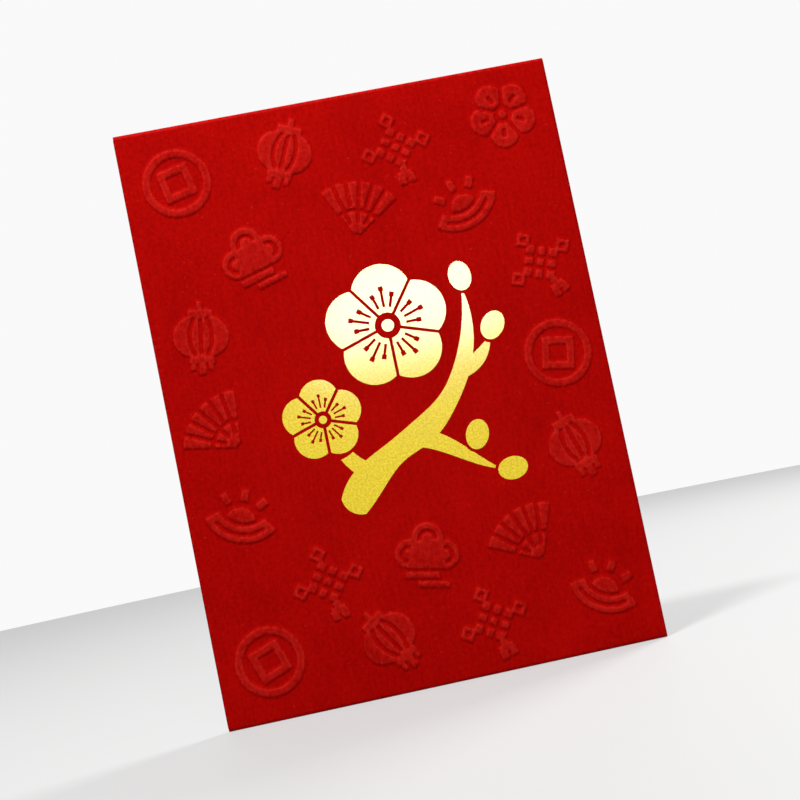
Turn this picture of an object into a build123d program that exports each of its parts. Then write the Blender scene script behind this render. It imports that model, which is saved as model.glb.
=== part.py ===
from build123d import *

import os
from math import cos, radians, sin

# A red gift envelope, folded from one die-cut sheet of card. The back panel folds up from the bottom
# and is glued to two side tabs, and a flap on the top crease folds down over the mouth of the pocket.
# The front has blind-embossed luck motifs and a sprig of plum blossom in gold foil.
# X runs across the width, Y from front to back and Z up. The origin is under the middle of the envelope.
# All lengths are in millimetres.

# Card and finished envelope
card = 0.30                # thickness of the card
envelope_width = 85.0      # over the two side folds
envelope_height = 115.0    # from the bottom fold to the top crease
fold_inset = 0.1           # from the side of the envelope to the ends of the bottom fold and top crease
pocket_gap = 0.40          # room between the front panel and the side tabs
glue_film = 0.05           # dried glue between a tab and the back panel
flap_clearance = 0.20      # from the back panel to the closed flap

# Side tabs and their bands of glue
tab_width = 11.0           # from the fold line to the free edge
tab_end_cut = 7.0          # how far the ends are cut back at the free edge
seam_width = 5.5           # width of a band of glue
seam_margin = 2.5          # from the fold line to the band
seam_end_margin = 3.0      # from the mouth, and from the bottom end cut, to the band

# Back panel
back_inset = 0.7           # from the side of the envelope to the cut edge
back_relief = 3.0          # height over which the cut edge runs out to the bottom fold
mouth_drop = 8.0           # from the top of the envelope to the panel's top edge
mouth_corner = 4.0         # rounding of the top corners
notch_width = 24.0         # thumb notch in the top edge
notch_depth = 6.0
notch_corner = 4.0

# Closing flap and its strip of gum
flap_depth = 33.0          # from the crease line to the middle of the lip
flap_taper = 8.5           # how much narrower each side is at the lip
flap_bow = 3.0             # how far the middle of the lip hangs below its corners
flap_corner = 8.0          # rounding of the lip's corners
gum_film = 0.05
gum_length = 46.0
gum_width = 7.0
gum_margin = 3.0           # from the lip's corners to the strip

# Blind embossing
emboss_height = 0.25
motif_size = 14.0          # across one motif
motif_stroke = 1.5         # width of a raised line
motif_groove = 0.7         # width of a line left low in a raised shape

# Gold foil sprig
foil_film = 0.04
foil_gap = 0.6             # card left bare between neighbouring foil shapes
sprig_height = 45.0
large_blossom = 24.0       # across the petals
small_blossom = 15.5
trunk_width = 6.4
twig_width = 3.4
bud_length = 5.8
bud_width = 4.4

# Layers from front to back, with the whole depth centred on the origin
tab_offset = pocket_gap
back_offset = tab_offset + card + glue_film
flap_offset = back_offset + card + flap_clearance
depth = emboss_height + card + flap_offset + card
pocket_y = emboss_height + card - depth / 2    # inner face of the front panel
front_y = pocket_y - card
tab_y = pocket_y + tab_offset
seam_y = tab_y + card
back_y = pocket_y + back_offset
flap_y = pocket_y + flap_offset

# Inner radius of each fold, and the line that it bends about
side_bend = tab_offset / 2
bottom_bend = back_offset / 2
top_bend = flap_offset / 2
side_x = envelope_width / 2 - card - side_bend
bottom_z = card + bottom_bend
top_z = envelope_height - card - top_bend
mouth_z = envelope_height - mouth_drop
back_half = envelope_width / 2 - back_inset
fold_half = envelope_width / 2 - fold_inset

# Where the motifs lie: kind, place across and up as shares of the envelope's width and height,
# measured from its middle and its bottom, and the turn in degrees
motif_place_shares = [
    ("coin", -0.378, 0.902, 12),
    ("lantern", -0.128, 0.918, -24),
    ("knot", 0.124, 0.893, 53),
    ("plum", 0.380, 0.915, 30),
    ("cloud", -0.246, 0.762, 16),
    ("fan", 0.010, 0.798, -14),
    ("ingot", 0.250, 0.772, 22),
    ("lantern", -0.392, 0.640, -8),
    ("knot", 0.394, 0.655, 71),
    ("fan", -0.388, 0.484, 38),
    ("coin", 0.390, 0.500, -10),
    ("ingot", -0.384, 0.332, -20),
    ("lantern", 0.386, 0.345, 18),
    ("knot", -0.222, 0.205, 55),
    ("cloud", 0.008, 0.222, -12),
    ("fan", 0.236, 0.208, 24),
    ("coin", -0.382, 0.098, 20),
    ("lantern", -0.112, 0.092, 34),
    ("knot", 0.122, 0.086, 60),
    ("ingot", 0.380, 0.098, -28),
]

# Blossoms have five petals, the first upright
petal_turn = 72
petal_angles = [90 + petal_turn * number for number in range(5)]


def polar(reach, angle):
    """The point at a reach and an angle in degrees from the middle."""
    return reach * cos(radians(angle)), reach * sin(radians(angle))


def ray(first_reach, last_reach, angle):
    """The two ends of a line that points away from the middle."""
    return *polar(first_reach, angle), *polar(last_reach, angle)


# Each motif is a list of strokes, raised or cut one after the other, in shares of motif_size:
# a disc (x, y, radius), a block (x, y, half width, half height), a line (x, y, x, y),
# an arc (x, y, radius, from, to) or a band (x, y, inner radius, outer radius, from, to).
# Lines and arcs are motif_stroke wide where they are raised, and motif_groove wide where they are cut.
coin_shares = [
    ("raise", "disc", 0, 0, 0.47),
    ("cut", "disc", 0, 0, 0.36),
    ("raise", "block", 0, 0, 0.225, 0.225),
    ("cut", "block", 0, 0, 0.12, 0.12),
]

plum_reach_share = 0.27
plum_petal_share = 0.20
plum_gap_shares = (0.08, 0.50)
plum_vein_shares = (0.20, 0.32)
plum_shares = []
for angle in petal_angles:
    plum_shares.append(("raise", "disc", *polar(plum_reach_share, angle), plum_petal_share))
for angle in petal_angles:
    plum_shares.append(("cut", "line", *ray(*plum_gap_shares, angle + petal_turn / 2)))
    plum_shares.append(("cut", "line", *ray(*plum_vein_shares, angle)))
plum_shares.append(("cut", "disc", 0, 0, 0.13))
plum_shares.append(("raise", "disc", 0, 0, 0.06))

fan_pivot_share = -0.36
fan_rib_shares = {62: 0.20, 76: 0.42, 90: 0.20, 104: 0.42, 118: 0.20}
fan_edge_share = 0.82
fan_shares = [
    ("raise", "band", 0, fan_pivot_share, 0.06, 0.78, 48, 132),
    ("cut", "arc", 0, fan_pivot_share, 0.38, 46, 134),
]
for angle, reach_share in fan_rib_shares.items():
    x0, y0, x1, y1 = ray(reach_share, fan_edge_share, angle)
    fan_shares.append(("cut", "line", x0, y0 + fan_pivot_share, x1, y1 + fan_pivot_share))

ingot_shares = [
    ("raise", "disc", 0, -0.02, 0.20),
    ("cut", "band", 0, 0.30, 0.33, 0.66, 200, 340),
    ("raise", "band", 0, 0.30, 0.38, 0.60, 216, 324),
    ("cut", "arc", 0, 0.30, 0.49, 228, 312),
    ("raise", "line", 0, 0.26, 0, 0.42),
    ("raise", "line", -0.19, 0.20, -0.30, 0.32),
    ("raise", "line", 0.19, 0.20, 0.30, 0.32),
]

cloud_shares = [
    ("raise", "disc", 0, 0.16, 0.22),
    ("raise", "disc", -0.24, -0.05, 0.20),
    ("raise", "disc", 0.24, -0.05, 0.20),
    ("raise", "block", 0, -0.13, 0.24, 0.12),
    ("cut", "arc", 0, 0.15, 0.11, 0, 190),
    ("cut", "arc", -0.24, -0.06, 0.10, 80, 260),
    ("cut", "arc", 0.24, -0.06, 0.10, -80, 100),
    ("raise", "block", -0.06, -0.335, 0.24, 0.045),
    ("raise", "block", 0.10, -0.455, 0.22, 0.04),
]

lantern_shares = [
    ("raise", "disc", -0.10, 0.02, 0.28),
    ("raise", "disc", 0.10, 0.02, 0.28),
    ("raise", "block", 0, 0.02, 0.10, 0.28),
    ("cut", "arc", 0.35, 0.02, 0.50, 149, 211),
    ("cut", "arc", -0.35, 0.02, 0.50, -31, 31),
    ("cut", "line", 0, -0.22, 0, 0.26),
    ("raise", "block", 0, 0.34, 0.17, 0.05),
    ("raise", "block", 0, -0.30, 0.17, 0.05),
    ("raise", "block", 0, 0.44, 0.04, 0.06),
    ("raise", "block", 0, -0.42, 0.05, 0.08),
    ("raise", "block", -0.12, -0.39, 0.035, 0.05),
    ("raise", "block", 0.12, -0.39, 0.035, 0.05),
]

# The knot lies on its side: its loop points to the upper right and its tassel to the lower left
knot_half_share = 0.22
knot_cord_share = 0.075
knot_loop_share = 0.275
knot_shares = [("raise", "block", 0, 0, knot_half_share, knot_half_share)]
for offset in (-knot_cord_share, knot_cord_share):
    knot_shares.append(("cut", "line", offset, -knot_half_share, offset, knot_half_share))
    knot_shares.append(("cut", "line", -knot_half_share, offset, knot_half_share, offset))
for side_x_share, side_y_share in ((1, 1), (1, -1), (-1, 1)):
    loop = (side_x_share * knot_loop_share, side_y_share * knot_loop_share)
    knot_shares.append(("raise", "block", *loop, 0.09, 0.09))
    knot_shares.append(("cut", "block", *loop, 0.037, 0.037))
knot_shares += [
    ("raise", "line", -0.20, -0.20, -0.29, -0.29),
    ("raise", "line", -0.205, -0.361, -0.361, -0.205),
    ("raise", "line", -0.233, -0.332, -0.325, -0.424),
    ("raise", "line", -0.332, -0.233, -0.424, -0.325),
]

motif_shares = {
    "coin": coin_shares,
    "plum": plum_shares,
    "fan": fan_shares,
    "ingot": ingot_shares,
    "cloud": cloud_shares,
    "lantern": lantern_shares,
    "knot": knot_shares,
}

# The sprig: its middle as shares of the envelope's width and height, then places and brush paths
# as shares of sprig_height. A path has a share of its stroke's width at each point.
sprig_place_shares = (0.0, 0.512)
large_blossom_shares = (0.045, 0.225)
small_blossom_shares = (-0.305, -0.115)
trunk_shares = [(-0.25, -0.50, 0.85), (-0.165, -0.405, 1.0), (-0.03, -0.31, 0.72), (0.10, -0.245, 0.80),
                (0.235, -0.135, 0.58), (0.33, 0.01, 0.50), (0.378, 0.16, 0.34), (0.385, 0.33, 0)]
twig_shares = [
    [(0.32, -0.03, 0.8), (0.405, 0.02, 0.75), (0.465, 0.10, 0)],
    [(0.05, -0.265, 1.0), (0.19, -0.325, 0.9), (0.29, -0.40, 0.55), (0.40, -0.47, 0)],
    [(-0.12, -0.385, 1.0), (-0.215, -0.315, 0.85), (-0.27, -0.22, 0.6), (-0.305, -0.115, 0)],
]
bud_shares = [(0.39, 0.375, 95), (0.485, 0.14, 55), (0.445, -0.475, 5), (0.325, -0.305, 70)]

# How far the start of a stroke bulges, as a share of half its width
blunt_share = 0.4

# A blossom's parts as shares of its size across. Each petal has three stamens, left bare in the foil,
# at a lean in degrees from the petal's middle and with a share of reach.
petal_share = 0.245
petal_reach_share = 0.255
heart_share = 0.105
pistil_share = 0.05
stamen_start_share = 0.15
stamen_width_share = 0.022
anther_share = 0.038
stamen_reach_shares = {-18: 0.255, 0: 0.30, 18: 0.255}


def looking_at(y):
    """The upright plane at y, seen from the front: local x to the right, local y up."""
    return Plane(origin=(0, y, 0), x_dir=(1, 0, 0), z_dir=(0, -1, 0))


def layer(outline, y, thickness):
    """A flat sheet of the outline, from y towards the back."""
    return extrude(looking_at(y + thickness) * outline, amount=thickness)


def polygon(*points):
    return make_face(Polyline(*points, close=True))


def fold(bend, start, outward, along, length):
    """A half tube of card of inner radius bend, which bulges outward and runs along a direction."""
    outer = bend + card
    ring = Circle(outer) - Circle(bend)
    half = ring & Rectangle(2 * outer, outer, align=(Align.CENTER, Align.MIN))
    section = Plane(origin=start, x_dir=Vector(outward).cross(Vector(along)), z_dir=along)
    return extrude(section * half, amount=length)


def side_fold(side):
    start = (side * side_x, pocket_y + side_bend, bottom_z)
    return fold(side_bend, start, (side, 0, 0), (0, 0, 1), top_z - bottom_z)


def bottom_fold():
    start = (-fold_half, pocket_y + bottom_bend, bottom_z)
    return fold(bottom_bend, start, (0, 0, -1), (1, 0, 0), 2 * fold_half)


def closing_fold():
    start = (-fold_half, pocket_y + top_bend, top_z)
    return fold(top_bend, start, (0, 0, 1), (1, 0, 0), 2 * fold_half)


def side_tab(side):
    """A glue tab on a side fold, with both ends cut back at its free edge."""
    root = side * side_x
    free = side * (side_x - tab_width)
    outline = polygon((root, bottom_z), (free, bottom_z + tab_end_cut),
                      (free, top_z - tab_end_cut), (root, top_z))
    return layer(outline, tab_y, card)


def seam_glue(side):
    """The band of dried glue that holds the back panel to a tab."""
    low = bottom_z + tab_end_cut + seam_end_margin
    high = mouth_z - mouth_corner - seam_end_margin
    middle = side * (side_x - seam_margin - seam_width / 2)
    outline = Pos(middle, (low + high) / 2) * Rectangle(seam_width, high - low)
    return layer(outline, seam_y, glue_film)


def back_panel():
    """The full back, with rounded top corners and a thumb notch that is an arc of a circle."""
    relief_z = bottom_z + back_relief
    sheet = polygon((-fold_half, bottom_z), (fold_half, bottom_z), (back_half, relief_z),
                    (back_half, mouth_z), (-back_half, mouth_z), (-back_half, relief_z))
    notch_radius = (notch_width**2 / 4 + notch_depth**2) / (2 * notch_depth)
    outline = sheet - Pos(0, mouth_z + notch_radius - notch_depth) * Circle(notch_radius)
    corners = outline.vertices().group_by(Axis.Y)[-1].sort_by(Axis.X)
    outline = fillet(corners[1:3], notch_corner)
    corners = outline.vertices().group_by(Axis.Y)[-1].sort_by(Axis.X)
    outline = fillet([corners[0], corners[-1]], mouth_corner)
    return layer(outline, back_y, card)


def closing_flap():
    """A tapered flap with a bowed lip and rounded corners."""
    tip_half = fold_half - flap_taper
    tip_z = top_z - flap_depth + flap_bow
    root_edge = Line((-fold_half, top_z), (fold_half, top_z))
    right_edge = Line((fold_half, top_z), (tip_half, tip_z))
    lip = ThreePointArc((tip_half, tip_z), (0, top_z - flap_depth), (-tip_half, tip_z))
    left_edge = Line((-tip_half, tip_z), (-fold_half, top_z))
    outline = make_face([root_edge, right_edge, lip, left_edge])
    outline = fillet(outline.vertices().group_by(Axis.Y)[0], flap_corner)
    return layer(outline, flap_y, card)


def gum_strip():
    """Dried gum on the inside of the flap, along its lip."""
    middle_z = top_z - flap_depth + flap_bow + gum_margin + gum_width / 2
    outline = Pos(0, middle_z) * SlotOverall(gum_length, gum_width)
    return layer(outline, flap_y - gum_film, gum_film)


def stroke(width, kind, *shares):
    """The outline of one stroke of a motif, with a width for a line or an arc."""
    x = shares[0] * motif_size
    y = shares[1] * motif_size
    if kind == "disc":
        return Pos(x, y) * Circle(shares[2] * motif_size)
    if kind == "block":
        return Pos(x, y) * Rectangle(2 * shares[2] * motif_size, 2 * shares[3] * motif_size)
    if kind == "line":
        run = Vector(*shares[2:]) * motif_size - Vector(x, y)
        turn = Vector(1, 0).get_signed_angle(run)
        return Pos(Vector(x, y) + run / 2) * Rot(0, 0, turn) * Rectangle(run.length, width)
    first, last = shares[-2:]
    radii = [share * motif_size for share in shares[2:-2]]
    if kind == "arc":
        radii = [radii[0] - width / 2, radii[0] + width / 2]
    inner, outer = [CenterArc((x, y), radius, first, last - first) for radius in radii]
    return make_face([outer, Line(outer @ 1, inner @ 1), inner, Line(inner @ 0, outer @ 0)])


def motif(kind, x_share, z_share, turn):
    """A whole motif at its place on the front."""
    outline = Sketch()
    for action, *shares in motif_shares[kind]:
        if action == "raise":
            outline += stroke(motif_stroke, *shares)
        else:
            outline -= stroke(motif_groove, *shares)
    return Pos(x_share * envelope_width, z_share * envelope_height) * Rot(0, 0, turn) * outline


def on_sprig(x_share, y_share):
    """A place on the front, from shares of the sprig."""
    middle_x = sprig_place_shares[0] * envelope_width
    middle_z = sprig_place_shares[1] * envelope_height
    return Vector(middle_x + x_share * sprig_height, middle_z + y_share * sprig_height)


def brush_stroke(path_shares, width):
    """A stroke with a blunt start, smooth edges and a pointed end."""
    points = [on_sprig(x, y) for x, y, _ in path_shares]
    left = []
    right = []
    for index, (_, _, width_share) in enumerate(path_shares[:-1]):
        along = (points[index + 1] - points[max(index - 1, 0)]).normalized()
        side = Vector(-along.Y, along.X) * (width * width_share / 2)
        left.append(points[index] + side)
        right.append(points[index] - side)
    back = (points[0] - points[1]).normalized() * (left[0] - points[0]).length * blunt_share
    return make_face([
        Spline(*left, points[-1]),
        Spline(points[-1], *reversed(right)),
        ThreePointArc(right[0], points[0] + back, left[0]),
    ])


def stamen(size, lean, reach_share):
    """A bare line with a square tip, at a lean from the middle of a petal."""
    start = stamen_start_share * size
    reach = reach_share * size
    line = Pos((start + reach) / 2, 0) * Rectangle(reach - start, stamen_width_share * size)
    anther = Pos(reach, 0) * Rectangle(anther_share * size, anther_share * size)
    return Rot(0, 0, lean) * (line + anther)


def blossom(place_shares, size):
    """Five round petals with bare stamens, parted by thin gaps, round a bare heart with a pistil."""
    petals = Sketch() + [Pos(*polar(petal_reach_share * size, angle)) * Circle(petal_share * size)
                         for angle in petal_angles]
    gaps = [Rot(0, 0, angle + petal_turn / 2) * Pos(size / 2, 0) * Rectangle(size, foil_gap)
            for angle in petal_angles]
    stamens = [stamen(size, angle + lean, reach_share) for angle in petal_angles
               for lean, reach_share in stamen_reach_shares.items()]
    petals = petals - gaps - stamens - Circle(heart_share * size)
    return Pos(on_sprig(*place_shares)) * (petals + Circle(pistil_share * size))


def blossom_room():
    """The discs that the two blossoms keep clear of other foil."""
    return [Pos(on_sprig(*large_blossom_shares)) * Circle(large_blossom / 2 + foil_gap),
            Pos(on_sprig(*small_blossom_shares)) * Circle(small_blossom / 2 + foil_gap)]


def branch_strokes(margin):
    """The trunk and its twigs, each side grown by a margin."""
    strokes = [brush_stroke(trunk_shares, trunk_width + 2 * margin)]
    strokes += [brush_stroke(path, twig_width + 2 * margin) for path in twig_shares]
    return Sketch() + strokes


def branch():
    """The trunk and its twigs, broken where a blossom or a bud lies in front."""
    return branch_strokes(0) - blossom_room() - buds(foil_gap)


def buds(margin):
    """Egg-shaped buds at the ends of the twigs, grown by a margin, which give way to the blossoms."""
    eggs = Sketch() + [Pos(on_sprig(x, y)) * Rot(0, 0, turn)
                       * Ellipse(bud_length / 2 + margin, bud_width / 2 + margin)
                       for x, y, turn in bud_shares]
    return eggs - blossom_room()


def front_panel():
    """The front, with the motifs standing proud of it and clear of the foil."""
    outline = polygon((-side_x, bottom_z), (side_x, bottom_z), (side_x, top_z), (-side_x, top_z))
    sheet = layer(outline, front_y, card)
    room = branch_strokes(foil_gap) + blossom_room() + buds(foil_gap)
    motifs = [motif(*place) - room for place in motif_place_shares]
    raised = [layer(outline, front_y - emboss_height, emboss_height) for outline in motifs]
    return sheet + raised


def foil(outline):
    """Foil lies on the outer face of the front panel."""
    return layer(outline, front_y - foil_film, foil_film)


nodes = {
    "front_panel": front_panel(),
    "left_fold": side_fold(-1),
    "right_fold": side_fold(1),
    "left_tab": side_tab(-1),
    "right_tab": side_tab(1),
    "left_seam_glue": seam_glue(-1),
    "right_seam_glue": seam_glue(1),
    "bottom_fold": bottom_fold(),
    "back_panel": back_panel(),
    "closing_fold": closing_fold(),
    "closing_flap": closing_flap(),
    "gum_strip": gum_strip(),
    "foil_branch": foil(branch()),
    "foil_large_blossom": foil(blossom(large_blossom_shares, large_blossom)),
    "foil_small_blossom": foil(blossom(small_blossom_shares, small_blossom)),
    "foil_buds": foil(buds(0)),
}

os.makedirs("parts", exist_ok=True)
for name, solid in nodes.items():
    export_step(solid, f"parts/{name}.step")
    print(name, "volume", round(solid.volume, 3), "cubic mm")
print("hinge line at y", round(pocket_y + top_bend, 4), "z", round(top_z, 4))
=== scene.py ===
# %% [markdown]
# # A red gift envelope
#
# A packet for a gift of money is one sheet of dyed card. It is stamped with gold foil and pressed with
# raised motifs while it is flat, and then folded and glued into a pocket with a flap on top.
# This lesson dresses the plain solids of such an envelope: the card gets its soft embossing, its rolled
# folds and its fibre, and the foil gets its gold.

# %% Load the solid model
import math

import bmesh
import bpy
import numpy as np
from mathutils import Matrix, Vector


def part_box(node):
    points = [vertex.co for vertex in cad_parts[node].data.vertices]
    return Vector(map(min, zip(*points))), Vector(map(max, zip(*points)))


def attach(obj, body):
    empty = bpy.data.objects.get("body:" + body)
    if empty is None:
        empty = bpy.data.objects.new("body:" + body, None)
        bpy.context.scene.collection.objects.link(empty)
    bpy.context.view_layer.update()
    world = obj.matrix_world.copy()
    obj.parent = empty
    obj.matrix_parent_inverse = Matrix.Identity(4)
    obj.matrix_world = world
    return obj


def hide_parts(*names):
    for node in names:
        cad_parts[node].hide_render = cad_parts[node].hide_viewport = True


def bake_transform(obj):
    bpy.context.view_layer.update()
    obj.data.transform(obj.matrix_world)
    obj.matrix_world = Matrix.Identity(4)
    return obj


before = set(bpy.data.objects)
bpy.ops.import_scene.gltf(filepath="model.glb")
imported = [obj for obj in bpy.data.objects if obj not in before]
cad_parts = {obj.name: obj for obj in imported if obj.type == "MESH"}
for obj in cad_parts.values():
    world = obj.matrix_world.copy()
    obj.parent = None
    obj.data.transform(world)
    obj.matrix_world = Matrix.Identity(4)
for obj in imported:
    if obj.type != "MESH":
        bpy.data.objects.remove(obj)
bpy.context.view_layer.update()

# %% [markdown]
# ## Sizes
#
# Every sheet of card lies where its solid lies. So the planes, fold lines and outlines are read from
# the boxes of the solids, and only what a box can't tell, such as the rounding of a corner, is written
# here as a number of millimetres.

# %% Read the planes and fold lines
MM = 0.001
X, Y, Z = 0, 1, 2


def span(node, axis):
    """Lowest and highest coordinate of a node along one axis."""
    low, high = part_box(node)
    return low[axis], high[axis]


side_x, right_edge = span("right_fold", X)       # where the front bends, and the side of the envelope
bottom_z, top_z = span("front_panel", Z)         # where the front bends into the bottom and top folds
front_y, seam_y = span("right_fold", Y)          # outer faces of the front and of the side tabs
emboss_height = front_y - span("front_panel", Y)[0]
back_in, back_out = span("back_panel", Y)
flap_in, flap_out = span("closing_flap", Y)
card = back_out - back_in
tab_edge = span("right_tab", X)[0]
fold_half = span("closing_fold", X)[1]           # half the length of the top crease and of the bottom fold
mouth_z = span("back_panel", Z)[1]
lip_z = span("closing_flap", Z)[0]
width = 2 * right_edge
height = span("closing_fold", Z)[1]
print("envelope", round(width / MM, 1), "by", round(height / MM, 1), "mm, card", round(card / MM, 2), "mm")

# %% [markdown]
# ## Camera
#
# The four corners of the envelope in the photograph fix where the camera stood: low in front of it, a
# little to the left, and tilted by about eleven degrees. One could turn the envelope instead, but its
# solids have to stay where they are. A lens of 63 mm on a 36 mm sensor gives the same slight narrowing
# towards the far corner.

# %% Place the camera
LENS = 63.0
nearest_seen = 0.01                              # metres in front of the lens
camera_place = np.array([-18.4, -266.1, 37.9]) * MM + np.array([0, front_y, 0])
camera_forward = np.array([0.0741, 0.9953, 0.0621])
camera_up = np.array([0.1977, -0.0757, 0.9773])


def aim(place, forward, up):
    """Matrix whose columns are right, up, backward and the place, each square to the others."""
    forward = forward / np.linalg.norm(forward)
    right = np.cross(forward, up)
    right = right / np.linalg.norm(right)
    matrix = np.eye(4)
    matrix[:3, :] = np.stack([right, np.cross(right, forward), -forward, place], axis=1)
    return Matrix(matrix.tolist())


camera = bpy.data.objects.new("camera", bpy.data.cameras.new("camera"))
camera.data.lens = LENS
camera.data.clip_start = nearest_seen
bpy.context.collection.objects.link(camera)
camera.matrix_world = aim(camera_place, camera_forward, camera_up)
bpy.context.scene.camera = camera
print("camera at", [round(float(c), 3) for c in camera.matrix_world.translation])

# %% [markdown]
# ## Sheets of card
#
# Card could be made by giving a flat mesh a thickness with a modifier. Here each sheet is written as two
# grids of points, its outer and its inner face, because then the outer face can carry the embossing
# while the inner face stays plain and cheap. Walls along the four borders close the sheet.

# %% Close a sheet between two grids
cut_edge_angle = math.radians(50)                # faces that meet at a larger angle keep a sharp edge


def closed_sheet(outer, inner, keep=None):
    """Points and faces of a sheet between two grids of the same shape, rows by columns by three.

    Each cell of a grid is a face. The inner grid keeps only the columns named in keep, and a wall on the
    first and last row then joins all the outer points between two kept columns to those two inner points.
    """
    rows, columns = outer.shape[:2]
    keep = np.arange(columns) if keep is None else np.asarray(keep)
    points = np.concatenate([outer.reshape(-1, 3), inner[:, keep].reshape(-1, 3)])
    out = np.arange(rows * columns).reshape(rows, columns)
    back = rows * columns + np.arange(rows * len(keep)).reshape(rows, len(keep))
    faces = []
    for index in (out, back):
        cells = [index[:-1, :-1], index[1:, :-1], index[1:, 1:], index[:-1, 1:]]
        faces += np.stack(cells, axis=-1).reshape(-1, 4).tolist()
    for side in (0, -1):
        wall = [out[:-1, side], out[1:, side], back[1:, side], back[:-1, side]]
        faces += np.stack(wall, axis=-1).tolist()
    for end in (0, -1):
        for first in range(len(keep) - 1):
            run = out[end, keep[first]:keep[first + 1] + 1].tolist()
            faces.append(run + [int(back[end, first + 1]), int(back[end, first])])
    return points, faces


def make_piece(name, points, faces, material, **values):
    """A mesh object with outward faces, smooth but for its cut edges, and named values at its points."""
    mesh = bpy.data.meshes.new(name)
    mesh.from_pydata(points.tolist(), [], faces)
    shape = bmesh.new()
    shape.from_mesh(mesh)
    bmesh.ops.recalc_face_normals(shape, faces=shape.faces)
    shape.to_mesh(mesh)
    shape.free()
    mesh.polygons.foreach_set("use_smooth", np.ones(len(mesh.polygons), dtype=bool))
    mesh.set_sharp_from_angle(angle=cut_edge_angle)
    for value, numbers in values.items():
        mesh.attributes.new(value, "FLOAT", "POINT").data.foreach_set("value", numbers.astype(np.float32))
    mesh.materials.append(material)
    piece = bpy.data.objects.new(name, mesh)
    bpy.context.collection.objects.link(piece)
    mesh.calc_loop_triangles()
    print(name, len(mesh.loop_triangles), "triangles")
    return piece


# %% [markdown]
# ## Red card
#
# The card is dyed through, so its cut edges are red too. Close up it is not one red: the dye is a little
# cloudy, fibres run up and down the sheet, and there are fine specks. Along the folds the surface is
# stretched and looks slightly paler. The raised tops of the embossing, most of all their rims, are painted a
# paler red as well: a painted sheen, in place of the gloss that catches the light there. Pictures of card
# could be laid on the sheets, but they blur close up and show where they repeat. Here the tones are made
# from noise in object coordinates, so they have the same size on every sheet and lie still on it. Folds and
# tops are marked by values at the points of the meshes.

# %% Helpers for node materials


def node_maker(tree):
    """A function that adds a node to a tree and sets or links its inputs, by name or as i0, i1 and so on."""

    def node(kind, settings=(), **inputs):
        made = tree.nodes.new(kind)
        for key, value in dict(settings).items():
            setattr(made, key, value)
        for key, value in inputs.items():
            by_number = key[0] == "i" and key[1:].isdigit()
            socket = made.inputs[int(key[1:]) if by_number else key]
            if isinstance(value, bpy.types.NodeSocket):
                tree.links.new(value, socket)
            else:
                socket.default_value = value
        return made

    return node


def new_material(name):
    """A material, its Principled shader, its maker of nodes, and a function that links into the shader."""
    material = bpy.data.materials.new(name)
    material.use_nodes = True
    tree = material.node_tree
    shader = tree.nodes["Principled BSDF"]

    def link(output, name_of_input):
        tree.links.new(output, shader.inputs[name_of_input])

    return material, shader, node_maker(tree), link


def noise(node, vector, scale, detail):
    """Noise from 0 to 1 with features of about one over scale, in metres."""
    made = node("ShaderNodeTexNoise", Vector=vector, Scale=scale, Detail=detail)
    return made.outputs["Fac"]


def remap(node, value, low, high, to_low, to_high):
    """Value stretched from low..high to to_low..to_high, and clamped."""
    made = node("ShaderNodeMapRange", i0=value, i1=low, i2=high, i3=to_low, i4=to_high)
    return made.outputs["Result"]


def mix_colour(node, share, first, second):
    """First and second colour mixed by a share."""
    made = node("ShaderNodeMix", {"data_type": "RGBA"}, i0=share, i6=first, i7=second)
    return made.outputs[2]


def scaled(node, vector, factors):
    """A vector times a vector, which stretches a pattern along an axis."""
    made = node("ShaderNodeVectorMath", {"operation": "MULTIPLY"}, i0=vector, i1=factors)
    return made.outputs["Vector"]


def combine(node, operation, first, second):
    """Two numbers put together by a sum, product or other operation."""
    return node("ShaderNodeMath", {"operation": operation}, i0=first, i1=second).outputs[0]


def weighted_sum(node, *terms):
    """The sum of some values, each times its share."""
    products = [combine(node, "MULTIPLY", value, share) for value, share in terms]
    total = products[0]
    for product in products[1:]:
        total = combine(node, "ADD", total, product)
    return total


def bump(node, height, strength, depth):
    """Normals tilted as if the height, from 0 to 1, stood for a depth in metres."""
    return node("ShaderNodeBump", Strength=strength, Distance=depth, Height=height).outputs["Normal"]


# %% Make the red card
RED = (0.375, 0.0016, 0.0006, 1)
RED_DEEP = (0.285, 0.0006, 0.0003, 1)
RED_WORN = (0.47, 0.020, 0.012, 1)
# painted sheen: a paler red put on the raised rims and tops of the embossing in place of gloss
RED_PAINTED_SHEEN = (0.47, 0.0150, 0.0100, 1)
SPECK = (0.48, 0.016, 0.012, 1)
PIT = (0.20, 0.0004, 0.0002, 1)

# A noise holds its features in a metre and its detail, and a bump its strength and its depth.
cloud_noise, fibre_noise = (70.0, 3.0), (2200.0, 2.0)
grain_noise, speck_noise = (1300.0, 3.0), (1500.0, 1.0)
card_bump = (0.55, 0.06 * MM)
fibre_stretch = (1.0, 1.0, 0.12)                 # height counts for little, so fibres are long and upright
cloud_share, fibre_share, grain_share = 0.30, 0.22, 0.48
grain_relief, fibre_relief = 0.6, 0.5
card_specular = 0.01

# A range holds two values of a noise or a mark, and the two numbers that they turn into.
dye_range = (0.40, 0.60, 0.0, 1.0)
# share of the painted sheen, which follows the grain
sheen_range = (0.40, 0.60, 0.20, 0.75)
rim_range = (0.50, 0.82, 0.0, 1.0)
top_range = (0.84, 1.0, 1.0, 0.38)
speck_range = (0.72, 0.80, 0.0, 0.5)
pit_range = (0.30, 0.22, 0.0, 0.6)
wear_range = (0.42, 0.66, 0.0, 0.4)
card_roughness = (0.30, 0.70, 0.50, 0.66)


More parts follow.
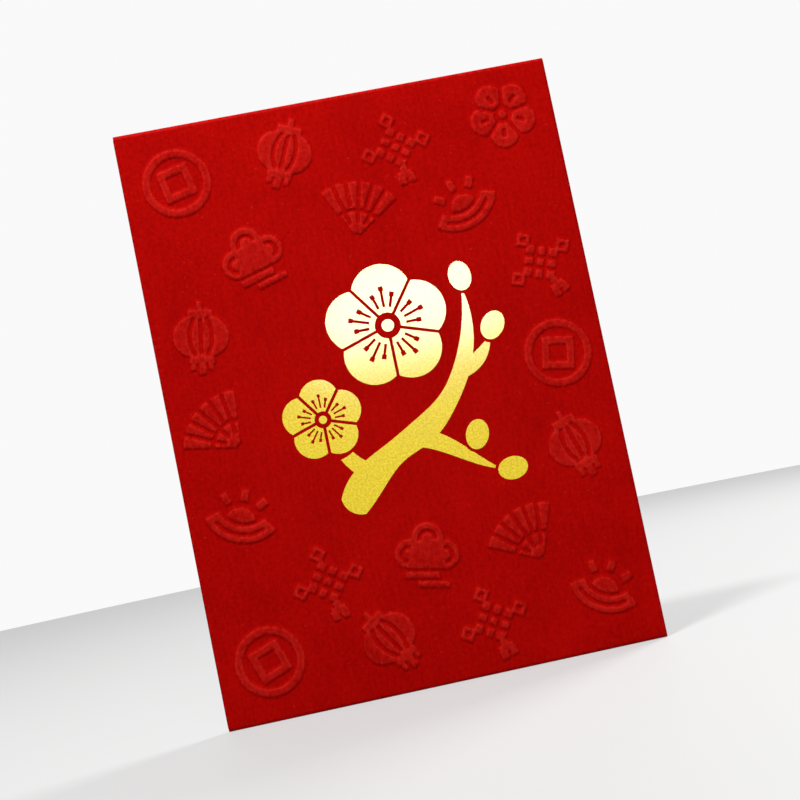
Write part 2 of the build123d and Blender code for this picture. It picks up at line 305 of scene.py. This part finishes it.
def red_card():
    """Cloudy red dye with upright fibres, grain, pale specks, dark pits, paler folds, and a painted sheen on
    the raised rims and tops.
    """
    material, shader, node, link = new_material("red_card")
    place = node("ShaderNodeTexCoord").outputs["Object"]
    cloud = noise(node, place, *cloud_noise)
    fibre = noise(node, scaled(node, place, fibre_stretch), *fibre_noise)
    grain = noise(node, place, *grain_noise)
    speck = noise(node, place, *speck_noise)
    crease = node("ShaderNodeAttribute", {"attribute_name": "crease"}).outputs["Fac"]
    raised = node("ShaderNodeAttribute", {"attribute_name": "raised"}).outputs["Fac"]
    tone = weighted_sum(node, (cloud, cloud_share), (fibre, fibre_share), (grain, grain_share))
    colour = mix_colour(node, remap(node, tone, *dye_range), RED_DEEP, RED)
    # Painted sheen: the upper slope and shoulder of each raised top are painted paler red, the middle of the
    # top less so.
    rim = combine(node, "MULTIPLY", remap(node, raised, *rim_range), remap(node, raised, *top_range))
    painted_sheen = combine(node, "MULTIPLY", rim, remap(node, tone, *sheen_range))
    colour = mix_colour(node, painted_sheen, colour, RED_PAINTED_SHEEN)
    colour = mix_colour(node, remap(node, speck, *speck_range), colour, SPECK)
    colour = mix_colour(node, remap(node, speck, *pit_range), colour, PIT)
    worn = combine(node, "MULTIPLY", crease, remap(node, grain, *wear_range))
    colour = mix_colour(node, worn, colour, RED_WORN)
    link(colour, "Base Color")
    link(remap(node, grain, *card_roughness), "Roughness")
    relief = weighted_sum(node, (grain, grain_relief), (fibre, fibre_relief))
    link(bump(node, relief, *card_bump), "Normal")
    shader.inputs["Specular IOR Level"].default_value = card_specular
    return material


card_material = red_card()
print("made", card_material.name)

# %% [markdown]
# ## Embossed motifs
#
# The raised motifs are pressed out of the card between two dies, which leaves full, rounded tops.
# One could cut outlines and bevel them. A distance field is easier: for each point of the front it gives the
# distance to the nearest edge, and the height follows from it. Each motif is a short list of strokes, in
# shares of its size, which are raised or cut one after the other: a disc (x, y, radius), a block (x, y, half
# width, half height), a line (x, y, x, y), an arc (x, y, radius, from, to) or a band (x, y, inner radius,
# outer radius, from, to).

# %% List the strokes of each motif
motif_size = 14.0 * MM
raised_width, cut_width = 1.5 * MM, 0.7 * MM
petal_turn = 72                                  # degrees from one petal of a plum blossom to the next
petal_angles = [90 + petal_turn * petal for petal in range(5)]


def polar(reach, angle):
    """The point at a reach and an angle in degrees from the middle."""
    return reach * math.cos(math.radians(angle)), reach * math.sin(math.radians(angle))


def ray(first, last, angle, y=0.0):
    """The two ends of a line that points away from the place (0, y)."""
    ends = polar(first, angle) + polar(last, angle)
    return ends[0], ends[1] + y, ends[2], ends[3] + y


def knot():
    """Nine small squares in a large one, with a loop at three corners and a tassel at the fourth.

    Where it is placed it is turned by about an eighth of a turn, so that it hangs with its tassel down.
    """
    half, cord, loop, loop_half, loop_hole = 0.22, 0.075, 0.275, 0.09, 0.037
    strokes = [("raise", "block", 0, 0, half, half)]
    for offset in (-cord, cord):
        strokes.append(("cut", "line", offset, -half, offset, half))
        strokes.append(("cut", "line", -half, offset, half, offset))
    for x, y in ((loop, loop), (loop, -loop), (-loop, loop)):
        strokes.append(("raise", "block", x, y, loop_half, loop_half))
        strokes.append(("cut", "block", x, y, loop_hole, loop_hole))
    tassel = [(-0.20, -0.20, -0.29, -0.29), (-0.205, -0.361, -0.361, -0.205),
              (-0.233, -0.332, -0.325, -0.424), (-0.332, -0.233, -0.424, -0.325)]
    return strokes + [("raise", "line", *ends) for ends in tassel]


motifs = {
    "coin": [("raise", "disc", 0, 0, 0.47), ("cut", "disc", 0, 0, 0.36),
             ("raise", "block", 0, 0, 0.225, 0.225), ("cut", "block", 0, 0, 0.12, 0.12)],
    "plum": [("raise", "disc", *polar(0.27, angle), 0.20) for angle in petal_angles]
            + [("cut", "line", *ray(0.08, 0.50, angle + petal_turn / 2)) for angle in petal_angles]
            + [("cut", "line", *ray(0.20, 0.32, angle)) for angle in petal_angles]
            + [("cut", "disc", 0, 0, 0.13), ("raise", "disc", 0, 0, 0.06)],
    "fan": [("raise", "band", 0, -0.36, 0.06, 0.78, 48, 132), ("cut", "arc", 0, -0.36, 0.38, 46, 134)]
           + [("cut", "line", *ray(0.20, 0.82, angle, -0.36)) for angle in (62, 90, 118)]
           + [("cut", "line", *ray(0.42, 0.82, angle, -0.36)) for angle in (76, 104)],
    "ingot": [("raise", "disc", 0, -0.02, 0.20), ("cut", "band", 0, 0.30, 0.33, 0.66, 200, 340),
              ("raise", "band", 0, 0.30, 0.38, 0.60, 216, 324), ("cut", "arc", 0, 0.30, 0.49, 228, 312),
              ("raise", "line", 0, 0.26, 0, 0.42), ("raise", "line", -0.19, 0.20, -0.30, 0.32),
              ("raise", "line", 0.19, 0.20, 0.30, 0.32)],
    "cloud": [("raise", "disc", 0, 0.16, 0.22), ("raise", "disc", -0.24, -0.05, 0.20),
              ("raise", "disc", 0.24, -0.05, 0.20), ("raise", "block", 0, -0.13, 0.24, 0.12),
              ("cut", "arc", 0, 0.15, 0.11, 0, 190), ("cut", "arc", -0.24, -0.06, 0.10, 80, 260),
              ("cut", "arc", 0.24, -0.06, 0.10, -80, 100), ("raise", "block", -0.06, -0.335, 0.24, 0.045),
              ("raise", "block", 0.10, -0.455, 0.22, 0.04)],
    "lantern": [("raise", "disc", -0.10, 0.02, 0.28), ("raise", "disc", 0.10, 0.02, 0.28),
                ("raise", "block", 0, 0.02, 0.10, 0.28), ("cut", "arc", 0.35, 0.02, 0.50, 149, 211),
                ("cut", "arc", -0.35, 0.02, 0.50, -31, 31), ("cut", "line", 0, -0.22, 0, 0.26),
                ("raise", "block", 0, 0.34, 0.17, 0.05), ("raise", "block", 0, -0.30, 0.17, 0.05),
                ("raise", "block", 0, 0.44, 0.04, 0.06), ("raise", "block", 0, -0.42, 0.05, 0.08),
                ("raise", "block", -0.12, -0.39, 0.035, 0.05), ("raise", "block", 0.12, -0.39, 0.035, 0.05)],
    "knot": knot(),
}
motif_places = [
    ("coin", -0.378, 0.902, 12), ("lantern", -0.128, 0.918, -24), ("knot", 0.124, 0.893, 53),
    ("plum", 0.380, 0.915, 30), ("cloud", -0.246, 0.762, 16), ("fan", 0.010, 0.798, -14),
    ("ingot", 0.250, 0.772, 22), ("lantern", -0.392, 0.640, -8), ("knot", 0.394, 0.655, 71),
    ("fan", -0.388, 0.484, 38), ("coin", 0.390, 0.500, -10), ("ingot", -0.384, 0.332, -20),
    ("lantern", 0.386, 0.345, 18), ("knot", -0.222, 0.205, 55), ("cloud", 0.008, 0.222, -12),
    ("fan", 0.236, 0.208, 24), ("coin", -0.382, 0.098, 20), ("lantern", -0.112, 0.092, 34),
    ("knot", 0.122, 0.086, 60), ("ingot", 0.380, 0.098, -28),
]
print(len(motifs), "kinds of motif,", len(motif_places), "places")

# %% Turn strokes into distances
motif_reach = 0.75 * motif_size                  # no raised stroke reaches further from the middle


def box_distance(px, py, x, y, half_x, half_y, turn=0.0):
    """Distance to a turned rectangle: how far a point lies past its sides, negative inside."""
    c, s = math.cos(turn), math.sin(turn)
    past_x = np.abs((px - x) * c + (py - y) * s) - half_x
    past_y = np.abs((py - y) * c - (px - x) * s) - half_y
    outside = np.hypot(np.maximum(past_x, 0), np.maximum(past_y, 0))
    return outside + np.minimum(np.maximum(past_x, past_y), 0)


def band_distance(px, py, x, y, inner, outer, first, last):
    """Distance to a part of a ring: the larger of how far a point lies past its circles and its two ends."""
    reach = np.hypot(px - x, py - y)
    angle = np.degrees(np.arctan2(py - y, px - x))
    swing = np.abs(np.mod(angle - (first + last) / 2 + 180, 360) - 180) - (last - first) / 2
    past_end = reach * np.sin(np.radians(np.clip(swing, -90, 90)))
    return np.maximum(np.abs(reach - (inner + outer) / 2) - (outer - inner) / 2, past_end)


def stroke_distance(px, py, line_width, kind, *shares):
    """Distance from points to one stroke, negative inside, all in shares of the motif."""
    if kind == "disc":
        return np.hypot(px - shares[0], py - shares[1]) - shares[2]
    if kind == "block":
        return box_distance(px, py, *shares)
    if kind == "line":
        ax, ay, bx, by = shares
        half, turn = math.hypot(bx - ax, by - ay) / 2, math.atan2(by - ay, bx - ax)
        return box_distance(px, py, (ax + bx) / 2, (ay + by) / 2, half, line_width / 2, turn)
    if kind == "arc":
        x, y, radius, first, last = shares
        shares = x, y, radius - line_width / 2, radius + line_width / 2, first, last
    return band_distance(px, py, *shares)


def edge_distance(x, z):
    """Distance from points of the front to the nearest edge of a motif, negative on a raised top.

    Raising a stroke takes the smaller of two distances. Cutting one takes the larger of the distance so far
    and the stroke's own distance turned round.
    """
    distance = np.full(x.shape, motif_size)
    for kind, x_share, z_share, turn in motif_places:
        dx, dz = x - x_share * width, z - z_share * height
        near = np.hypot(dx, dz) < motif_reach
        c, s = math.cos(math.radians(turn)), math.sin(math.radians(turn))
        px = (dx[near] * c + dz[near] * s) / motif_size
        py = (dz[near] * c - dx[near] * s) / motif_size
        shape = np.ones_like(px)
        for action, *stroke in motifs[kind]:
            if action == "raise":
                shape = np.minimum(shape, stroke_distance(px, py, raised_width / motif_size, *stroke))
            else:
                shape = np.maximum(shape, -stroke_distance(px, py, cut_width / motif_size, *stroke))
        distance[near] = np.minimum(distance[near], shape * motif_size)
    return distance


first_coin = np.array([motif_places[0][1] * width]), np.array([motif_places[0][2] * height])
print("the middle of the first coin lies", np.round(edge_distance(*first_coin) / MM, 2), "mm from an edge")

# %% [markdown]
# ## Relief
#
# Pressed card has no steps: each edge is a short slope, and the top inside it is slightly full. A plain
# grid that is only pushed out would draw those edges as little stairs, unless it were very fine. So the
# points near an edge are first moved along the sheet, until rows of them lie on the foot and on the shoulder
# of the slope, and then the height follows from the distance alone.

# %% Turn distances into a raised grid
emboss_edge, crown_width = 0.26 * MM, 0.9 * MM   # width of the slope, and of the rounding inside it
crown_share = 0.18                               # part of the height that the rounded top adds to the edge
slope_step = 0.02 * MM
snap_share, snap_steps, least_slope = 0.45, 2, 0.25


def edge_slope(x, z):
    """How fast the distance grows along x and z: its change over a small step to both sides."""
    along_x = edge_distance(x + slope_step, z) - edge_distance(x - slope_step, z)
    along_z = edge_distance(x, z + slope_step) - edge_distance(x, z - slope_step)
    return along_x / (2 * slope_step), along_z / (2 * slope_step)


def press(x, z):
    """A grid of points of the front, moved to the edges of the motifs, and their rise from 0 to 1.

    The slope of an edge runs from its foot to its shoulder. A point that is less than about half a cell from
    the nearer of the two moves onto it, in two steps along the slope of the distance field, so that both are
    drawn as clean lines. Inside the shoulder a crown adds one less the square of what is left of its width.
    """
    snap = snap_share * max(x[0, 1] - x[0, 0], z[1, 0] - z[0, 0])
    distance = edge_distance(x, z)
    goal = np.where(distance > 0, 0.5, -0.5) * emboss_edge
    close = np.abs(goal - distance) < snap
    x, z = x.copy(), z.copy()
    for _ in range(snap_steps):
        near_x, near_z = x[close], z[close]
        slope_x, slope_z = edge_slope(near_x, near_z)
        miss = goal[close] - edge_distance(near_x, near_z)
        miss = np.clip(miss, -snap, snap) / np.maximum(slope_x**2 + slope_z**2, least_slope)
        x[close] += miss * slope_x
        z[close] += miss * slope_z
    distance = np.where(close, goal, distance)
    edge = np.clip(0.5 - distance / emboss_edge, 0, 1)
    inside = np.clip((-distance - emboss_edge / 2) / crown_width, 0, 1)
    rise = (1 - crown_share) * edge + crown_share * (1 - (1 - inside) ** 2)
    return x, z, rise


print("edges rise", round(emboss_height / MM, 2), "mm over", round(emboss_edge / MM, 2), "mm")

# %% [markdown]
# ## Front sheet
#
# The front panel bends round both sides and ends in two narrow glue tabs. As separate pieces they would show
# seams, so they are one surface: a path round the sheet, from the free edge of one tab to that of the other,
# carried up the height. The path is made of straight runs and half circles. The tabs are shorter at their
# free edges, so each column of points has its own lowest and highest point.

# %% Wrap the front sheet
front_columns, sheet_rows, fold_steps, tab_steps = 246, 334, 8, 3
tab_end_cut = 7.0 * MM


def half_fold(centre_y, radius, side, angles):
    """Points and outward directions on a side fold: the middle plus radius times the direction."""
    out = np.stack([np.cos(angles) * side, np.sin(angles)], axis=-1)
    return np.array([side * side_x, centre_y]) + radius * out, out


def front_path():
    """Points, outward directions, bend share and end cut along tab, fold, front, fold and tab, from above.

    The bend share is the sideways part of the outward direction. The cut at the ends of a tab shrinks evenly
    from its free edge to its fold.
    """
    radius, centre_y = (seam_y - front_y) / 2, (seam_y + front_y) / 2
    angles = np.linspace(math.pi / 2, -math.pi / 2, fold_steps + 1)
    left, left_out = half_fold(centre_y, radius, -1, angles)
    right, right_out = half_fold(centre_y, radius, 1, angles[::-1])
    share = np.linspace(0, 1, tab_steps + 1)[:-1]
    tab_x = -tab_edge + share * (tab_edge - side_x)
    tab = np.stack([tab_x, np.full_like(tab_x, seam_y)], axis=-1)
    flat_x = np.linspace(-side_x, side_x, front_columns + 1)[1:-1]
    flat = np.stack([flat_x, np.full_like(flat_x, front_y)], axis=-1)
    points = np.concatenate([tab, left, flat, right, tab[::-1] * [-1, 1]])
    tab_out = np.tile([0.0, 1.0], (tab_steps, 1))
    flat_out = np.tile([0.0, -1.0], (len(flat), 1))
    out = np.concatenate([tab_out, left_out, flat_out, right_out, tab_out])
    bend = np.abs(out[:, 0])
    cut = np.zeros(len(points))
    cut[:tab_steps] = (1 - share) * tab_end_cut
    cut[-tab_steps:] = cut[:tab_steps][::-1]
    return points, out, bend, cut


def front_sheet():
    """Outer point (i, j) is path point j at height i, moved outward by the embossing on the flat front."""
    path, out, bend, cut = front_path()
    low, high = bottom_z + cut, top_z - cut
    up = np.linspace(0, 1, sheet_rows + 1)[:, None]
    z = low + up * (high - low)
    x = np.broadcast_to(path[:, 0], z.shape)
    y = np.broadcast_to(path[:, 1], z.shape)
    inner = np.stack([x - card * out[:, 0], y - card * out[:, 1], z], axis=-1)
    outer = np.stack([x, y, z], axis=-1)
    flat_start = tab_steps + fold_steps
    flat = slice(flat_start, flat_start + front_columns + 1)
    raised = np.zeros(z.shape)
    outer[:, flat, 0], outer[:, flat, 2], raised[:, flat] = press(x[:, flat], z[:, flat])
    outer[..., 1] -= raised * emboss_height
    keep = list(range(flat_start + 1)) + list(range(flat_start + front_columns, len(path)))
    points, faces = closed_sheet(outer, inner, keep)
    hidden = np.zeros(inner[:, keep].shape[:2])
    crease = np.concatenate([np.broadcast_to(bend, z.shape).ravel(), hidden.ravel()])
    raised = np.concatenate([raised.ravel(), hidden.ravel()])
    return make_piece("front_sheet", points, faces, card_material, crease=crease, raised=raised)


front = front_sheet()
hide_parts("front_panel", "left_fold", "right_fold", "left_tab", "right_tab")
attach(front, "pocket")

# %% [markdown]
# ## Back sheet
#
# The back panel starts at the front's lower edge, rolls round the bottom fold and rises to the mouth. It is
# cut a little narrower than the fold, so that it stays inside the envelope's sides. Its top edge has rounded
# corners and a thumb notch, which are arcs of circles. Cutting them out of a plain sheet would leave ragged
# cells, so each column of points is stretched to end on the edge. Nothing lies under the panel's middle, so
# between the glued tabs it sinks a little, and the edges of the tabs show through as soft lines.

# %% Roll the back sheet
mouth_corner, notch_width, notch_depth, notch_corner = 4.0 * MM, 24.0 * MM, 6.0 * MM, 4.0 * MM
back_inset, back_relief = 0.7 * MM, 3.0 * MM     # at each side, and the height over which it grows
back_half = right_edge - back_inset
back_sag, sag_side, sag_foot = 0.16 * MM, 3.0 * MM, 12.0 * MM
back_turns, back_rows, back_columns, corner_steps = 12, 90, 120, 8


def mouth_edge(x):
    """Height of the top edge at x: a line, a quarter circle at each corner, a notch arc and its two fillets.

    The notch's circle passes through its mouth and its deepest point. A fillet's middle lies one fillet
    radius under the line and one fillet radius outside that circle.
    """
    x = np.abs(x)
    radius = (notch_width**2 / 4 + notch_depth**2) / (2 * notch_depth)
    rise = radius - notch_depth
    fillet_x = math.sqrt((radius + notch_corner) ** 2 - (rise + notch_corner) ** 2)
    touch_x = fillet_x * radius / (radius + notch_corner)
    notch = rise - np.sqrt(np.maximum(radius**2 - x**2, 0))
    fillet = np.sqrt(np.maximum(notch_corner**2 - (x - fillet_x) ** 2, 0)) - notch_corner
    past = np.clip(x - (back_half - mouth_corner), 0, mouth_corner)
    corner = np.sqrt(mouth_corner**2 - past**2) - mouth_corner
    return mouth_z + np.where(x < touch_x, notch, np.where(x < fillet_x, fillet, corner))


def smooth(t):
    """Smooth step: 3 t squared less 2 t cubed, for t held between 0 and 1."""
    t = np.clip(t, 0, 1)
    return t * t * (3 - 2 * t)


def outward(turn, rows):
    """Outward directions in y and z: cosine and sine of the angle round a fold, then 1 and 0 on a panel."""
    fold = np.stack([np.cos(turn), np.sin(turn)], axis=-1)
    return np.concatenate([fold, np.tile([1.0, 0.0], (rows, 1))])


def fold_marks(turn, rows, columns):
    """Crease values of both faces of a sheet: the sine of the angle round its fold, and 0 on its panel."""
    crease = np.concatenate([np.abs(np.sin(turn)), np.zeros(rows)])
    return np.tile(np.repeat(crease, columns), 2)


def back_sheet():
    """Rows follow the bottom fold's half circle and then the panel, and columns spread across the width.

    The sag is one smooth step inward from the tabs, times another up from the fold. Near the fold the
    columns spread evenly to the fold's full length.
    """
    turn = np.linspace(math.pi, 2 * math.pi, back_turns + 1)
    up = np.linspace(0, 1, back_rows + 1)[1:]
    ends = back_half - mouth_corner * (1 - np.sin(np.linspace(0, math.pi / 2, corner_steps + 1)))
    x = np.concatenate([-ends[::-1], np.linspace(-ends[0], ends[0], back_columns + 1)[1:-1], ends])
    radius, centre_y = (back_out - front_y) / 2, (back_out + front_y) / 2
    panel_z = bottom_z + up[:, None] * (mouth_edge(x) - bottom_z)
    fold_z = np.tile((bottom_z + radius * np.sin(turn))[:, None], (1, len(x)))
    z = np.concatenate([fold_z, panel_z])
    y = np.concatenate([centre_y + radius * np.cos(turn), np.full(len(up), back_out)])[:, None]
    out = outward(turn, len(up))[:, None]
    inside = smooth((tab_edge - np.abs(x)) / sag_side) * smooth((z - bottom_z) / sag_foot)
    y = y - back_sag * inside
    spread = np.clip(1 - (z - bottom_z) / back_relief, 0, 1) * (fold_half / back_half - 1)
    grid_x = x * (1 + spread)
    outer = np.stack([grid_x, y, z], axis=-1)
    inner = np.stack([grid_x, y - card * out[..., 0], z - card * out[..., 1]], axis=-1)
    points, faces = closed_sheet(outer, inner)
    crease = fold_marks(turn, len(up), len(x))
    return make_piece("back_sheet", points, faces, card_material, crease=crease)


back = back_sheet()
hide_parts("back_panel", "bottom_fold")
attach(back, "pocket")

# %% [markdown]
# ## Closing flap
#
# The flap turns on the top crease. As two sheets, crease and flap would part when it opens, so they are one
# sheet, which rolls from the front round the half circle of the crease and runs on down the back as the
# flap.
# Its outline narrows towards the lip, and the lip is bowed, with rounded corners.

# %% Bend the closing flap
flap_depth = top_z - lip_z
flap_taper, flap_bow, flap_corner = 8.5 * MM, 3.0 * MM, 8.0 * MM
flap_turns, flap_rows, flap_columns = 18, 70, 60
last_row, row_crowding = 0.985, 1.6              # the rows crowd towards the lip


def flap_outline(depth):
    """Half width of the flap at a depth below the crease: straight side, rounded corner, bowed lip.

    The lip is a circle through its two corners and its lowest point. The corner's middle lies one corner
    radius inside the side line and one corner radius inside that circle.
    """
    tip_half, tip_depth = fold_half - flap_taper, flap_depth - flap_bow
    lip = (tip_half**2 + flap_bow**2) / (2 * flap_bow)
    lip_middle = np.array([0.0, flap_depth - lip])
    side = np.array([-flap_taper, tip_depth]) / math.hypot(flap_taper, tip_depth)
    inward = np.array([-side[1], side[0]])
    start = np.array([fold_half, 0.0]) + flap_corner * inward - lip_middle
    reach = -start @ side + math.sqrt((start @ side) ** 2 - start @ start + (lip - flap_corner) ** 2)
    middle = start + reach * side
    side_end = reach * side[1]
    lip_start = (lip_middle + middle * lip / (lip - flap_corner))[1]
    middle = middle + lip_middle
    straight = fold_half - flap_taper * depth / tip_depth
    corner = middle[0] + np.sqrt(np.maximum(flap_corner**2 - (depth - middle[1]) ** 2, 0))
    bowed = np.sqrt(np.maximum(lip**2 - (depth - lip_middle[1]) ** 2, 0))
    return np.where(depth < side_end, straight, np.where(depth < lip_start, corner, bowed))


def flap_sheet():
    """Rows follow the crease's half circle and then the flap, and columns spread to the outline.

    A row's depth is one less a power of its share still to come, so rows crowd towards the lip. The last one
    lies just above the lip's lowest point, where the outline still has a width.
    """
    turn = np.linspace(math.pi, 0, flap_turns + 1)
    depth = flap_depth * (1 - (1 - np.linspace(0, last_row, flap_rows + 1)[1:]) ** row_crowding)
    across = np.linspace(-1, 1, flap_columns + 1)
    radius, centre_y = (flap_out - front_y) / 2, (flap_out + front_y) / 2
    half = np.concatenate([np.full(len(turn), fold_half), flap_outline(depth)])[:, None]
    y = np.concatenate([centre_y + radius * np.cos(turn), np.full(len(depth), flap_out)])
    z = np.concatenate([top_z + radius * np.sin(turn), top_z - depth])
    out = outward(turn, len(depth))
    x = half * across
    shape = np.ones_like(x)
    outer = np.stack([x, y[:, None] * shape, z[:, None] * shape], axis=-1)
    inner = outer - card * np.stack([0 * x, out[:, :1] * shape, out[:, 1:] * shape], axis=-1)
    points, faces = closed_sheet(outer, inner)
    crease = fold_marks(turn, len(depth), len(across))
    return make_piece("flap_sheet", points, faces, card_material, crease=crease)


flap = flap_sheet()
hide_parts("closing_flap", "closing_fold")
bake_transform(flap)

# %% [markdown]
# ## Gold foil
#
# Hot-stamped foil is a skin of metal a few hundredths of a millimetre thick, so its flat solids already
# have the right shape. Its look is in the finish. Polished metal alone would mirror a lamp as a patch with a
# hard border. Here a satin yellow metal, roughened by the fine tooth of the card that shows through it, lies
# under a smooth clear lacquer: the metal spreads the light of the lamps into an even gold, and the lacquer
# mirrors a lamp as a white gleam with a soft border.

# %% Gild the sprig
GOLD = (0.55, 0.435, 0.0150, 1)
GOLD_DEEP = (0.43, 0.315, 0.0002, 1)
foil_grain_noise, foil_cloud_noise = (2400.0, 3.0), (260.0, 2.0)
foil_grain_share, foil_cloud_share = 0.8, 0.2
foil_bump = (0.70, 0.04 * MM)
gold_range = (0.38, 0.62, 0.0, 1.0)
foil_roughness = (0.30, 0.70, 0.56, 0.64)
lacquer, lacquer_roughness = 0.70, 0.135


def gold_foil():
    """Yellow metal with a fine grain in its colour, gloss and surface, under a clear coat."""
    material, shader, node, link = new_material("gold_foil")
    place = node("ShaderNodeTexCoord").outputs["Object"]
    grain = noise(node, place, *foil_grain_noise)
    cloud = noise(node, place, *foil_cloud_noise)
    tone = weighted_sum(node, (grain, foil_grain_share), (cloud, foil_cloud_share))
    link(mix_colour(node, remap(node, tone, *gold_range), GOLD_DEEP, GOLD), "Base Color")
    link(remap(node, cloud, *foil_roughness), "Roughness")
    link(bump(node, grain, *foil_bump), "Normal")
    shader.inputs["Metallic"].default_value = 1.0
    shader.inputs["Coat Weight"].default_value = lacquer
    shader.inputs["Coat Roughness"].default_value = lacquer_roughness
    return material


def finish_solid(name, material):
    """Give a solid one material in place of its own."""
    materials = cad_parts[name].data.materials
    materials.clear()
    materials.append(material)


foil_material = gold_foil()
foil_nodes = [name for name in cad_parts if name.startswith("foil_")]
for name in foil_nodes:
    finish_solid(name, foil_material)
print("gilded", foil_nodes)

# %% [markdown]
# ## Glue and gum
#
# The bands of glue lie hidden in the side seams. The gum on the inside of the flap shows when the flap is
# open: a thin glossy film on the red card, with brush streaks along its length. The streaks could be
# modelled as ridges, but they are only about a hundredth of a millimetre high. So the films keep their plain
# solids, and noise that is stretched along the brush's way gives the streaks their colour, gloss and bump.

# %% Dry the gum and the glue
GUM = (0.30, 0.010, 0.008, 1)
GUM_THIN = (0.40, 0.030, 0.022, 1)
GLUE = (0.78, 0.74, 0.62, 1)
GLUE_DRY = (0.68, 0.63, 0.50, 1)
streak_noise, streak_stretch = (1400.0, 3.0), (0.08, 1.0, 1.0)
streak_bump = (0.25, 0.04 * MM)
streak_range = (0.35, 0.65, 0.0, 1.0)
gum_roughness = (0.30, 0.70, 0.16, 0.31)
glue_roughness = (0.30, 0.70, 0.50, 0.65)
film_specular = 0.3


def dried_film(name, first, second, roughness):
    """Two tones in long streaks, with the streaks also in the gloss."""
    material, shader, node, link = new_material(name)
    place = node("ShaderNodeTexCoord").outputs["Object"]
    streak = noise(node, scaled(node, place, streak_stretch), *streak_noise)
    link(mix_colour(node, remap(node, streak, *streak_range), first, second), "Base Color")
    link(remap(node, streak, *roughness), "Roughness")
    link(bump(node, streak, *streak_bump), "Normal")
    shader.inputs["Specular IOR Level"].default_value = film_specular
    return material


gum_material = dried_film("flap_gum", GUM, GUM_THIN, gum_roughness)
glue_material = dried_film("seam_glue", GLUE, GLUE_DRY, glue_roughness)
films = {"gum_strip": gum_material, "left_seam_glue": glue_material, "right_seam_glue": glue_material}
for name, material in films.items():
    finish_solid(name, material)
print("dried", sorted(films))

# %% [markdown]
# ## Table
#
# The envelope stands on a pale table in front of a white ground. Bright surfaces all round would fill the
# small shadows of the embossing with light. So the table and the ground are white to the camera and in
# reflections, but cast little light themselves: a Light Path node tells the two kinds of ray apart.

# %% Lay the table
floor_radius, floor_sides = 0.71, 96
FLOOR = (0.30, 0.299, 0.298, 1)
FLOOR_SEEN = (0.200, 0.1995, 0.199, 1)
WHITE = (1, 1, 1, 1)
floor_glow, floor_roughness, floor_specular = 0.43, 0.6, 0.1


def seen_share(node):
    """1 for rays that the camera sees, straight, mirrored or through glass, and 0 for rays that light."""
    rays = node("ShaderNodeLightPath").outputs
    seen = rays["Is Camera Ray"]
    for kind in ("Is Glossy Ray", "Is Transmission Ray"):
        seen = combine(node, "MAXIMUM", seen, rays[kind])
    return seen


def table_top():
    """A flat disc whose pale colour is in part its own light, but only to the camera and in reflections."""
    angle = np.linspace(0, 2 * math.pi, floor_sides + 1)[:-1]
    rim = np.stack([np.cos(angle), np.sin(angle), 0 * angle], axis=-1) * floor_radius
    mesh = bpy.data.meshes.new("table_top")
    mesh.from_pydata(rim.tolist(), [], [list(range(len(rim)))])
    material, shader, node, link = new_material("table_top")
    seen = seen_share(node)
    link(mix_colour(node, seen, FLOOR, FLOOR_SEEN), "Base Color")
    link(combine(node, "MULTIPLY", seen, floor_glow), "Emission Strength")
    shader.inputs["Emission Color"].default_value = WHITE
    shader.inputs["Roughness"].default_value = floor_roughness
    shader.inputs["Specular IOR Level"].default_value = floor_specular
    mesh.materials.append(material)
    piece = bpy.data.objects.new("table_top", mesh)
    bpy.context.collection.objects.link(piece)
    return piece


table_top()
print("table", round(2 * floor_radius, 2), "m wide")

# %% [markdown]
# ## Light
#
# One large soft lamp would be simple, but it would leave the embossing flat. Here a small lamp high above
# the envelope, a little to the left, rakes down the front, so that the raised motifs are light on their
# upper edges and dark on their lower ones. A wide lamp behind the camera stands where the lacquer of the
# foil mirrors it: its gleam is white at the top of the sprig and fades to gold further down. A third lamp
# lights the back and draws a soft shadow to the front left.

# %% Light the envelope
ambient, ground_seen = 0.06, 0.95
middle = (0, 0, height / 2)
lamps = [                                        # name, place, width and height in metres, and watts
    ("high_lamp", (-0.08, -0.15, 0.42), (0.05, 0.05), 2.32),
    ("gleam_lamp", (0.055, -0.533, 0.150), (0.12, 0.07), 0.95),
    ("back_lamp", (0.35, 0.30, 0.42), (0.20, 0.20), 4.0),
]


def white_ground():
    """A world that is white to the camera and in reflections, and a weaker light on everything else."""
    world = bpy.data.worlds.new("white_ground")
    bpy.context.scene.world = world
    world.use_nodes = True
    world.node_tree.nodes.clear()
    node = node_maker(world.node_tree)
    light = node("ShaderNodeBackground", Color=WHITE, Strength=ambient).outputs[0]
    ground = node("ShaderNodeBackground", Color=WHITE, Strength=ground_seen).outputs[0]
    mix = node("ShaderNodeMixShader", i0=seen_share(node), i1=light, i2=ground).outputs[0]
    node("ShaderNodeOutputWorld", Surface=mix)


def soft_lamp(name, place, size, watts):
    """A lamp of a width and a height at a place, turned to the middle of the envelope."""
    lamp = bpy.data.lights.new(name, "AREA")
    lamp.shape = "RECTANGLE"
    lamp.size, lamp.size_y = size
    lamp.energy = watts
    made = bpy.data.objects.new(name, lamp)
    bpy.context.collection.objects.link(made)
    place = np.array(place)
    made.matrix_world = aim(place, np.array(middle) - place, np.array([0.0, 0.0, 1.0]))


white_ground()
for lamp in lamps:
    soft_lamp(*lamp)
bpy.context.scene.view_settings.view_transform = "Standard"
print("lit by", [lamp.name for lamp in bpy.data.lights])
